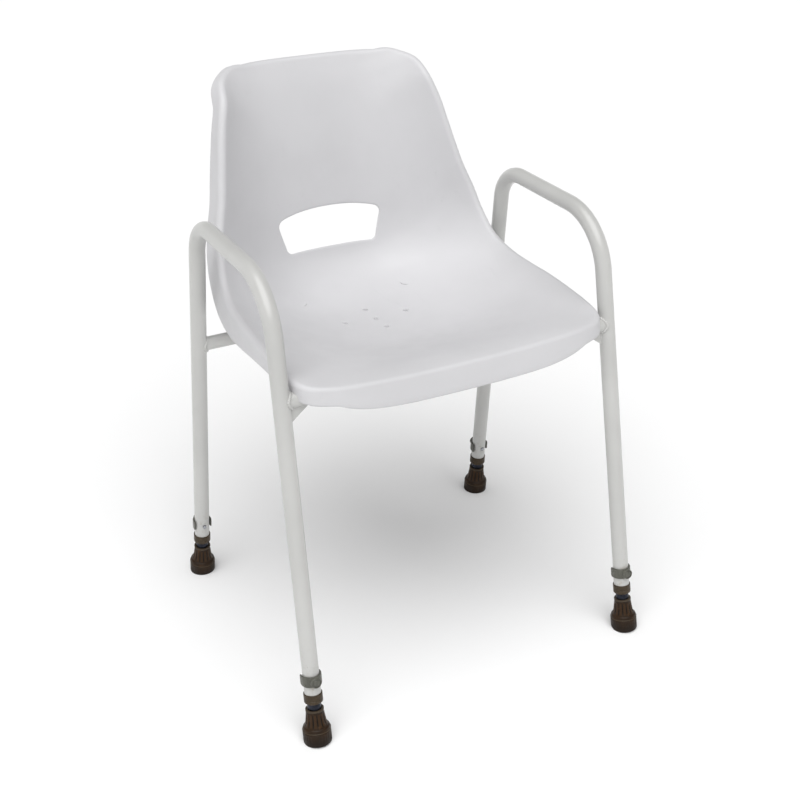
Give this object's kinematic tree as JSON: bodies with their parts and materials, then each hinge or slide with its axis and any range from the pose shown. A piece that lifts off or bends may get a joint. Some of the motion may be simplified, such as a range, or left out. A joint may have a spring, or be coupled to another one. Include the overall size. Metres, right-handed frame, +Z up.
{
  "type": "shower chair",
  "caption": "Armchair for use in a shower: a moulded bucket seat with a hand slot and drain holes on a welded tube frame with height-adjustable legs.",
  "frame": {"origin": "on the floor, on the chair's plane of symmetry, midway between its foremost and rearmost points", "axes": "+Z up, the chair faces -Y, +X to the right of someone who looks at its front"},
  "size_m": [0.5562, 0.5815, 0.7759],
  "materials": {
    "seat_plastic": "fine-grained moulded polypropylene",
    "coated_steel": "semi-gloss white coating",
    "leg_steel": "bright drawn tube",
    "brown_rubber": "satin moulded rubber",
    "brown_plastic": "satin",
    "clip_plastic": "satin",
    "pin_steel": "polished",
    "zinc_steel": "zinc plated"
  },
  "bodies": {
    "frame": {"seat_shell": "seat_plastic", "left_side_frame": "coated_steel", "right_side_frame": "coated_steel", "front_cross_rail": "coated_steel", "rear_cross_rail": "coated_steel", "front_gussets": "coated_steel", "seat_screws": "zinc_steel", "screw_washers": "zinc_steel", "front_left_collar": "brown_plastic", "front_right_collar": "brown_plastic", "rear_left_collar": "brown_plastic", "rear_right_collar": "brown_plastic"},
    "front_left_leg": {"front_left_leg_tube": "leg_steel", "front_left_ferrule": "brown_rubber", "front_left_disc": "zinc_steel"},
    "front_left_lock": {"front_left_clip": "clip_plastic", "front_left_pin": "pin_steel"},
    "front_right_leg": {"front_right_leg_tube": "leg_steel", "front_right_ferrule": "brown_rubber", "front_right_disc": "zinc_steel"},
    "front_right_lock": {"front_right_clip": "clip_plastic", "front_right_pin": "pin_steel"},
    "rear_left_leg": {"rear_left_leg_tube": "leg_steel", "rear_left_ferrule": "brown_rubber", "rear_left_disc": "zinc_steel"},
    "rear_left_lock": {"rear_left_clip": "clip_plastic", "rear_left_pin": "pin_steel"},
    "rear_right_leg": {"rear_right_leg_tube": "leg_steel", "rear_right_ferrule": "brown_rubber", "rear_right_disc": "zinc_steel"},
    "rear_right_lock": {"rear_right_clip": "clip_plastic", "rear_right_pin": "pin_steel"}
  },
  "joints": [
    {"name": "front_left_leg_slide", "type": "slide", "parent": "frame", "child": "front_left_leg", "axis": [-0.0181, -0.2141, -0.9767], "range_m": [0, 0.15]},
    {"name": "front_left_lock_pull", "type": "slide", "parent": "frame", "child": "front_left_lock", "axis": [0.004, -0.9768, 0.214], "range_m": [0, 0.035]},
    {"name": "front_right_leg_slide", "type": "slide", "parent": "frame", "child": "front_right_leg", "axis": [0.0181, -0.2141, -0.9767], "range_m": [0, 0.15]},
    {"name": "front_right_lock_pull", "type": "slide", "parent": "frame", "child": "front_right_lock", "axis": [-0.004, -0.9768, 0.214], "range_m": [0, 0.035]},
    {"name": "rear_left_leg_slide", "type": "slide", "parent": "frame", "child": "rear_left_leg", "axis": [-0.0184, 0.0917, -0.9956], "range_m": [0, 0.15]},
    {"name": "rear_left_lock_pull", "type": "slide", "parent": "frame", "child": "rear_left_lock", "axis": [0.0017, 0.9958, 0.0917], "range_m": [0, 0.035]},
    {"name": "rear_right_leg_slide", "type": "slide", "parent": "frame", "child": "rear_right_leg", "axis": [0.0184, 0.0917, -0.9956], "range_m": [0, 0.15]},
    {"name": "rear_right_lock_pull", "type": "slide", "parent": "frame", "child": "rear_right_lock", "axis": [-0.0017, 0.9958, 0.0917], "range_m": [0, 0.035]}
  ]
}
